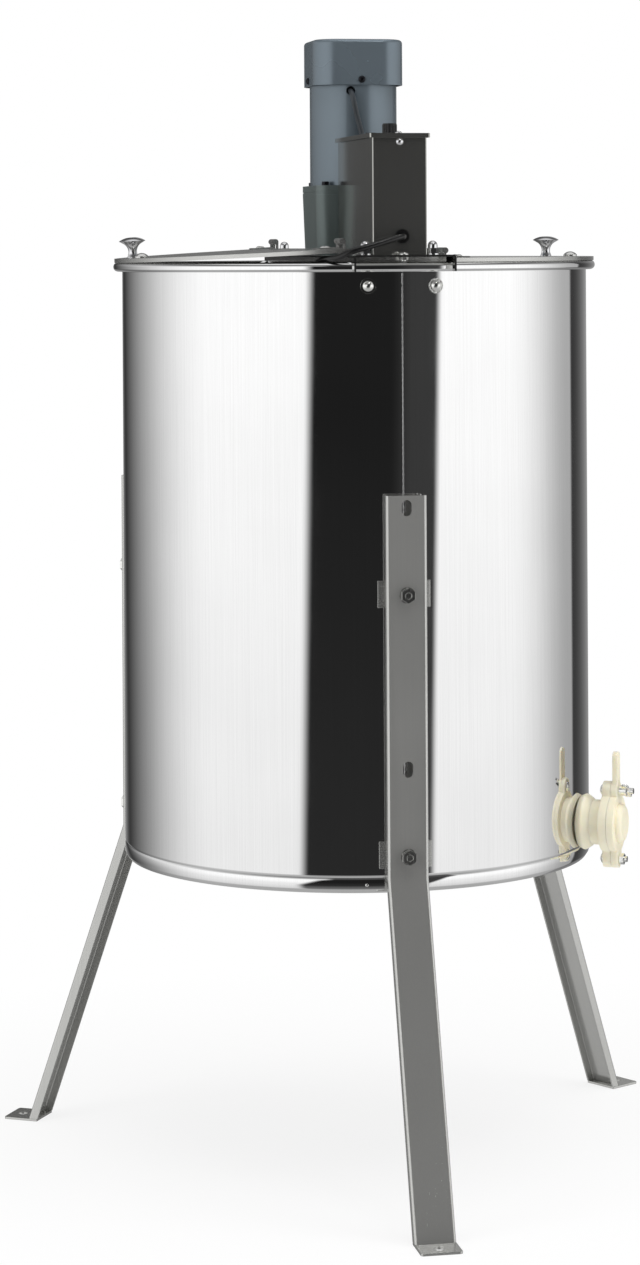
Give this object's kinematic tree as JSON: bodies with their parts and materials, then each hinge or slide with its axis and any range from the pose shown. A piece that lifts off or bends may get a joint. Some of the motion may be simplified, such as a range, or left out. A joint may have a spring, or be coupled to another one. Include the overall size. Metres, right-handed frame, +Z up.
{
  "type": "honey extractor",
  "caption": "Motor-driven honey extractor: polished drum on splayed channel legs, basket inside, half-moon hinged lids, geared motor on a crossbar and a honey gate.",
  "frame": {"origin": "on the drum's axis at floor level, under the foot plates", "axes": "+Z up along the drum's axis; -Y is the front with the control box and the near leg; +X is to the right seen from the front"},
  "size_m": [0.7002, 0.65, 1.144],
  "materials": {
    "mirror_steel": "mirror-polished stainless sheet",
    "brushed_steel": "brushed stainless, fine straight grain",
    "leg_steel": "brushed stainless channel, grain along its length",
    "polished_box": "polished stainless box sheet",
    "bolt_steel": "turned and plated fasteners",
    "chrome": "bright chrome",
    "motor_paint": "blue-grey satin paint",
    "gearbox_paint": "green-grey paint on casting",
    "gear_steel": "oiled ground steel",
    "bearing_bronze": "sintered bronze and bearing steel",
    "laminations": "stacked laminations",
    "black_plastic": "moulded black plastic",
    "black_rubber": "black cable sheath and rubber",
    "grey_cable": "grey cable sheath",
    "circuit_board": "glass-epoxy board",
    "gate_nylon": "ivory nylon",
    "black_oxide": "black-oxide socket screws"
  },
  "bodies": {
    "stand": {"acorn_nuts": "chrome", "bottom_bearing": "bearing_bronze", "box_cover": "polished_box", "box_screws": "bolt_steel", "cable_grommet": "black_rubber", "control_box": "polished_box", "crossbar": "polished_box", "crossbar_bolts": "bolt_steel", "crossbar_brackets": "brushed_steel", "drive_bearings": "bearing_bronze", "drum_floor": "brushed_steel", "drum_shell": "mirror_steel", "fan_cover": "motor_paint", "fan_cover_screws": "bolt_steel", "foot_plates": "leg_steel", "gate_body": "gate_nylon", "gate_bolts": "bolt_steel", "gate_ring_nuts": "gate_nylon", "gearbox_cover": "gearbox_paint", "gearbox_housing": "gearbox_paint", "gearbox_screws": "black_oxide", "hinge_leaves": "bolt_steel", "hinge_pins": "bolt_steel", "leg_bolts": "bolt_steel", "leg_brackets": "brushed_steel", "leg_front": "leg_steel", "leg_left": "leg_steel", "leg_nuts": "bolt_steel", "leg_right": "leg_steel", "mains_lead": "black_rubber", "motor_cable": "grey_cable", "motor_end_shield": "motor_paint", "motor_housing": "motor_paint", "speed_control": "circuit_board", "stator": "laminations", "switch_body": "black_plastic", "wall_bolts": "bolt_steel"},
    "basket": {"output_shaft": "gear_steel", "output_gear": "gear_steel", "shaft_coupling": "bolt_steel", "basket_shaft": "brushed_steel", "basket_frame": "brushed_steel", "basket_screens": "brushed_steel"},
    "countershaft_body": {"countershaft": "gear_steel", "countershaft_gear": "gear_steel"},
    "rotor": {"motor_shaft": "gear_steel", "rotor_core": "laminations", "cooling_fan": "black_plastic"},
    "lid_left_body": {"lid_left": "brushed_steel", "lid_left_knob": "chrome", "lid_left_leaves": "bolt_steel", "lid_left_screws": "bolt_steel"},
    "lid_right_body": {"lid_right": "brushed_steel", "lid_right_knob": "chrome", "lid_right_leaves": "bolt_steel", "lid_right_screws": "bolt_steel"},
    "speed_knob_body": {"speed_knob": "black_plastic"},
    "rocker_body": {"rocker": "black_plastic"},
    "gate_blade_body": {"gate_blade": "gate_nylon"},
    "wing_nut_body": {"wing_nut": "bolt_steel"}
  },
  "joints": [
    {"name": "basket_spin", "type": "hinge", "parent": "stand", "child": "basket", "pos_m": [0, 0, 0.62], "axis": [0, 0, 1], "continuous": true},
    {"name": "countershaft_spin", "type": "hinge", "parent": "stand", "child": "countershaft_body", "pos_m": [0.022, 0, 0.95], "axis": [0, 0, 1], "continuous": true},
    {"name": "rotor_spin", "type": "hinge", "parent": "stand", "child": "rotor", "pos_m": [0, 0, 1.04], "axis": [0, 0, 1], "continuous": true},
    {"name": "lid_left_hinge", "type": "hinge", "parent": "stand", "child": "lid_left_body", "pos_m": [-0.05178, 0.19, 0.93667], "axis": [0, 1, 0], "range_deg": [0, 90]},
    {"name": "lid_right_hinge", "type": "hinge", "parent": "stand", "child": "lid_right_body", "pos_m": [0.051, 0.19, 0.927], "axis": [0, -1, 0], "range_deg": [0, 90]},
    {"name": "speed_knob_turn", "type": "hinge", "parent": "stand", "child": "speed_knob_body", "pos_m": [0, -0.184, 1.046], "axis": [0, 0, -1], "range_deg": [0, 270]},
    {"name": "switch_rock", "type": "hinge", "parent": "stand", "child": "rocker_body", "pos_m": [-0.012, -0.15, 1.036], "axis": [1, 0, 0], "range_deg": [0, 20]},
    {"name": "gate_blade_swing", "type": "hinge", "parent": "stand", "child": "gate_blade_body", "pos_m": [0.23902, -0.138, 0.311], "axis": [0.866, -0.5, 0], "range_deg": [0, 95]},
    {"name": "wing_nut_turn", "type": "hinge", "parent": "stand", "child": "wing_nut_body", "pos_m": [0.24595, -0.142, 0.38], "axis": [0.866, -0.5, 0], "continuous": true}
  ],
  "couplings": [
    {"joint": "countershaft_spin", "follows": "basket_spin", "ratio": -2.1429},
    {"joint": "rotor_spin", "follows": "basket_spin", "ratio": 4.5918}
  ]
}
